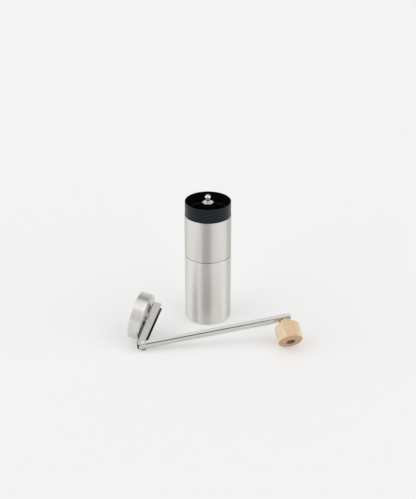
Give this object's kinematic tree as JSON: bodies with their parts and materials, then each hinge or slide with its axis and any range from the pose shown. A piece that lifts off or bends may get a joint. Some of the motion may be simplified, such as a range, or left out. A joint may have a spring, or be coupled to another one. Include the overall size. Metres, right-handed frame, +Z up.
{
  "type": "hand crank coffee grinder",
  "caption": "Slim steel hand coffee grinder with a black hopper collar, standing beside its steel lid and folding crank arm with a faceted wooden knob.",
  "frame": {"origin": "centre of the canister's flat base, on the surface it stands on", "axes": "+Z up along the grinder's axis; -Y towards the side where the crank lid lies; +X from the crank's hinge towards its knob"},
  "size_m": [0.1799, 0.1059, 0.1418],
  "materials": {
    "catch_canister": "fine circumferential brushing",
    "upper_tube": "fine circumferential brushing",
    "hopper_liner": "satin black moulded plastic",
    "burr_housing": "matte black moulded plastic",
    "seal_ring": "matte rubber",
    "outer_burr": "ground tool steel",
    "upper_bridge": "matte black moulded plastic",
    "lower_bridge": "matte black moulded plastic",
    "upper_bush": "plain bearing plastic",
    "lower_bush": "plain bearing plastic",
    "drive_shaft": "polished steel",
    "thrust_washer": "bright steel",
    "drive_nut": "polished steel",
    "ball_cap": "mirror polished steel",
    "shaft_clip": "spring steel",
    "spring_washer": "bright steel",
    "burr_spring": "spring steel wire",
    "burr_hub": "matte black moulded plastic",
    "inner_burr": "ground tool steel",
    "click_plate": "spring steel",
    "adjuster_nut": "matte black moulded plastic",
    "crank_arm": "brushed sheet steel",
    "knob_washer": "bright steel",
    "knob_axle": "bright steel",
    "axle_nut": "bright steel",
    "wooden_knob": "oiled beech",
    "knob_sleeve": "plain bearing plastic",
    "crank_bracket": "brushed sheet steel",
    "hinge_pin": "bright steel",
    "hinge_washers": "plain bearing plastic",
    "drive_socket": "turned steel",
    "lock_ring": "bright steel",
    "ball_clip": "spring steel",
    "socket_washer": "plain bearing plastic",
    "lid_shell": "fine circumferential brushing",
    "lid_bush": "matte black moulded plastic"
  },
  "bodies": {
    "canister": {"catch_canister": "catch_canister"},
    "head": {"upper_tube": "upper_tube", "hopper_liner": "hopper_liner", "burr_housing": "burr_housing", "seal_ring": "seal_ring", "outer_burr": "outer_burr", "upper_bridge": "upper_bridge", "lower_bridge": "lower_bridge", "upper_bush": "upper_bush", "lower_bush": "lower_bush"},
    "shaft": {"drive_shaft": "drive_shaft", "thrust_washer": "thrust_washer", "drive_nut": "drive_nut", "ball_cap": "ball_cap", "shaft_clip": "shaft_clip", "spring_washer": "spring_washer", "burr_spring": "burr_spring"},
    "burr": {"burr_hub": "burr_hub", "inner_burr": "inner_burr", "click_plate": "click_plate"},
    "adjuster": {"adjuster_nut": "adjuster_nut"},
    "arm": {"crank_arm": "crank_arm", "knob_washer": "knob_washer", "knob_axle": "knob_axle", "axle_nut": "axle_nut"},
    "knob": {"wooden_knob": "wooden_knob", "knob_sleeve": "knob_sleeve"},
    "bracket": {"crank_bracket": "crank_bracket", "hinge_pin": "hinge_pin", "hinge_washers": "hinge_washers", "drive_socket": "drive_socket", "lock_ring": "lock_ring", "ball_clip": "ball_clip", "socket_washer": "socket_washer"},
    "lid": {"lid_shell": "lid_shell", "lid_bush": "lid_bush"}
  },
  "joints": [
    {"name": "head_lift", "type": "slide", "parent": "canister", "child": "head", "axis": [0, 0, 1], "range_m": [0, 0.06]},
    {"name": "shaft_spin", "type": "hinge", "parent": "head", "child": "shaft", "pos_m": [0, 0, 0.119], "axis": [0, 0, 1], "continuous": true},
    {"name": "burr_gap", "type": "slide", "parent": "shaft", "child": "burr", "axis": [0, 0, -1], "range_m": [0, 0.0012], "deforming": ["burr_spring"]},
    {"name": "grind_adjust", "type": "hinge", "parent": "burr", "child": "adjuster", "pos_m": [0, 0, 0.0725], "axis": [0, 0, 1], "range_deg": [0, 540]},
    {"name": "crank_lift", "type": "slide", "parent": "canister", "child": "arm", "axis": [0, 0, 1], "range_m": [0, 0.12]},
    {"name": "knob_spin", "type": "hinge", "parent": "arm", "child": "knob", "pos_m": [0.07905, -0.05202, 0.02533], "axis": [0.1979, -0.808, -0.5549], "continuous": true},
    {"name": "arm_fold", "type": "hinge", "parent": "arm", "child": "bracket", "pos_m": [-0.0667, -0.0751, 0.00698], "axis": [0.0136, 0.5683, -0.8227], "range_deg": [-30.7, 59.3]},
    {"name": "lid_swivel", "type": "hinge", "parent": "bracket", "child": "lid", "pos_m": [-0.06352, -0.04984, 0.02448], "axis": [0.9438, -0.2791, -0.1772], "continuous": true}
  ],
  "couplings": [
    {"joint": "grind_adjust", "follows": "burr_gap", "rad_per_m": 7850}
  ]
}
